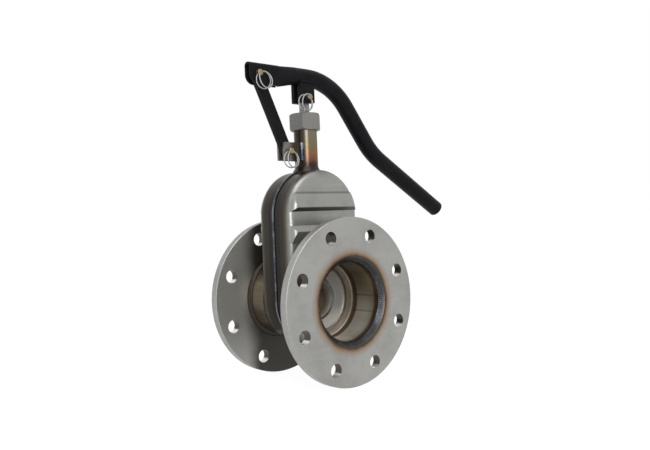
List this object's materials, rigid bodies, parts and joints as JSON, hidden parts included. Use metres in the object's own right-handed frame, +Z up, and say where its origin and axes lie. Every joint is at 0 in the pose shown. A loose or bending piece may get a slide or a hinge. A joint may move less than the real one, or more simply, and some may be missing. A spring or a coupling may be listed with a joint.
{
  "type": "gate valve",
  "caption": "Flanged gate valve with a pressed body, raised by a bent hand lever and a side link.",
  "frame": {"origin": "centre of the front flange's outer sealing face, on the flow axis", "axes": "+Y along the flow axis into the valve, +Z up the stem, +X towards the hand end of the lever"},
  "size_m": [0.3865, 0.166, 0.426],
  "materials": {
    "flange_steel": "brushed stainless plate",
    "tube_steel": "drawn stainless tube with heat tint",
    "weld": "heat-tinted weld bead",
    "pressed_steel": "pressed stainless sheet",
    "seat_steel": "turned",
    "seat_polymer": "cream polymer",
    "gate_steel": "turned stainless",
    "spring_steel": "spring steel",
    "bronze": "plain bronze",
    "packing": "matt",
    "neck_steel": "stainless with heat tint",
    "nut_steel": "machined stainless",
    "stem_steel": "polished",
    "bracket_steel": "stainless plate with heat tint",
    "black_steel": "satin black powder coat",
    "yellow_zinc": "yellow zinc plate",
    "ring_steel": "bright spring wire"
  },
  "bodies": {
    "valve_body": {"front_flange": "flange_steel", "rear_flange": "flange_steel", "front_port_tube": "tube_steel", "rear_port_tube": "tube_steel", "front_flange_weld": "weld", "rear_flange_weld": "weld", "front_back_weld": "weld", "rear_back_weld": "weld", "front_port_weld": "weld", "rear_port_weld": "weld", "seam_weld": "weld", "neck_weld": "weld", "bracket_weld": "weld", "front_body_shell": "pressed_steel", "rear_body_shell": "pressed_steel", "front_seat_ring": "seat_steel", "rear_seat_ring": "seat_steel", "front_seat_liner": "seat_polymer", "rear_seat_liner": "seat_polymer", "stem_bush": "bronze", "packing_rings": "packing", "neck_tube": "neck_steel", "gland_follower": "neck_steel", "gland_nut": "nut_steel", "link_bracket": "bracket_steel", "bracket_pin": "yellow_zinc"},
    "gate": {"stem": "stem_steel", "gate_carrier": "gate_steel", "front_gate_disc": "gate_steel", "rear_gate_disc": "gate_steel", "gate_spring": "spring_steel", "cross_pin": "stem_steel"},
    "lever": {"lever_tube": "black_steel", "lever_cap": "black_steel", "lever_lugs": "black_steel", "lug_weld": "black_steel", "lever_pin": "yellow_zinc", "stem_pin": "yellow_zinc"},
    "link": {"link_bar": "black_steel"},
    "lever_ring": {"lever_ring": "ring_steel"},
    "stem_ring": {"stem_ring": "ring_steel"},
    "bracket_ring": {"bracket_ring": "ring_steel"}
  },
  "joints": [
    {"name": "gate_lift", "type": "slide", "parent": "valve_body", "child": "gate", "axis": [0, 0, 1], "range_m": [0, 0.102]},
    {"name": "lever_turn", "type": "hinge", "parent": "gate", "child": "lever", "pos_m": [0, 0.083, 0.276], "axis": [0, -1, 0], "range_deg": [0, 72.27]},
    {"name": "link_swing", "type": "hinge", "parent": "valve_body", "child": "link", "pos_m": [-0.0345, 0.083, 0.201], "axis": [0, 1, 0], "range_deg": [0, 17.17]},
    {"name": "lever_ring_swing", "type": "hinge", "parent": "lever", "child": "lever_ring", "pos_m": [-0.07956, 0.07415, 0.301], "axis": [-0.8192, 0, -0.5736], "range_deg": [0, 70]},
    {"name": "stem_ring_swing", "type": "hinge", "parent": "lever", "child": "stem_ring", "pos_m": [0, 0.0709, 0.276], "axis": [-0.788, 0, 0.6157], "range_deg": [0, 70]},
    {"name": "bracket_ring_swing", "type": "hinge", "parent": "valve_body", "child": "bracket_ring", "pos_m": [-0.0345, 0.07265, 0.201], "axis": [-1, 0, 0], "range_deg": [0, 70]}
  ],
  "couplings": [
    {"joint": "lever_turn", "follows": "gate_lift", "rad_per_m": 12.364},
    {"joint": "link_swing", "follows": "gate_lift", "rad_per_m": 2.9358}
  ]
}
